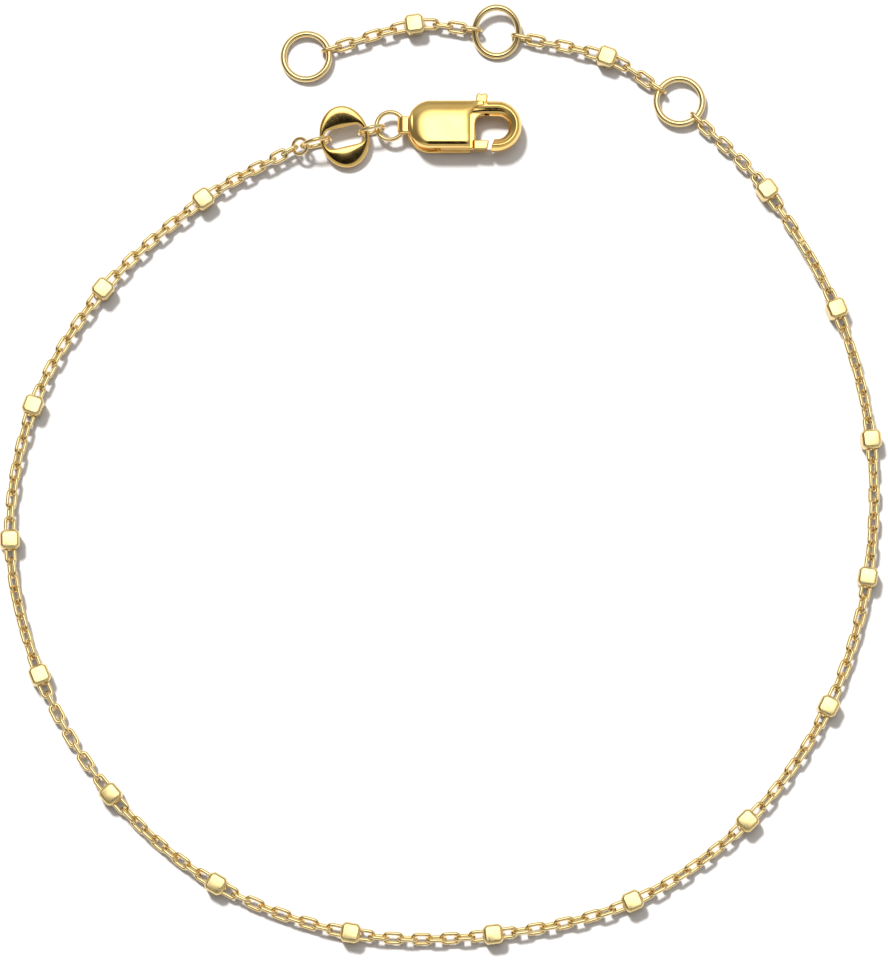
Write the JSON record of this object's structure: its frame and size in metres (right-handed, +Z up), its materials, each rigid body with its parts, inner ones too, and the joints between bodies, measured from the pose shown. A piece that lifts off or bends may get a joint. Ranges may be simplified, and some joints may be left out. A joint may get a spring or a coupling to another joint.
{
  "type": "bracelet",
  "caption": "Fine gold cable-chain bracelet lying open, strung with chamfered cube beads, with a lobster clasp, an open oval tag and an extender of rings.",
  "frame": {"origin": "under the middle of the whole piece as it lies, on the surface it lies on", "axes": "+X from the clasp's tail towards its hook, +Y from the loop's far side towards the clasp and the extender, +Z up off the surface"},
  "size_m": [0.0564, 0.061, 0.0021],
  "materials": {
    "polished_gold": "mirror-polished yellow gold plate",
    "wire_gold": "polished drawn gold wire",
    "bead_gold": "bright pale gold plate, lightly tumbled"
  },
  "bodies": {
    "root": {"clasp_body": "polished_gold", "clasp_pin": "polished_gold", "tag": "polished_gold", "clasp_ring": "wire_gold", "tag_ring_near": "wire_gold", "tag_ring_far": "wire_gold", "chain_ring": "wire_gold", "main_chain": "wire_gold", "extender_ring_1": "wire_gold", "extender_ring_2": "wire_gold", "extender_ring_3": "wire_gold", "extender_chain_1": "wire_gold", "extender_chain_2": "wire_gold", "bead_01": "bead_gold", "bead_02": "bead_gold", "bead_03": "bead_gold", "bead_04": "bead_gold", "bead_05": "bead_gold", "bead_06": "bead_gold", "bead_07": "bead_gold", "bead_08": "bead_gold", "bead_09": "bead_gold", "bead_10": "bead_gold", "bead_11": "bead_gold", "bead_12": "bead_gold", "bead_13": "bead_gold", "bead_14": "bead_gold", "bead_15": "bead_gold", "bead_16": "bead_gold", "bead_17": "bead_gold", "bead_18": "bead_gold"},
    "lever": {"clasp_lever": "polished_gold"}
  },
  "joints": [
    {"name": "clasp_lever_hinge", "type": "hinge", "parent": "root", "child": "lever", "pos_m": [0.00124, 0.02181, 0.00097], "axis": [0, 0, 1], "range_deg": [0, 30], "stiffness_Nm_per_rad": 0.002, "springref_deg": -5.73}
  ]
}
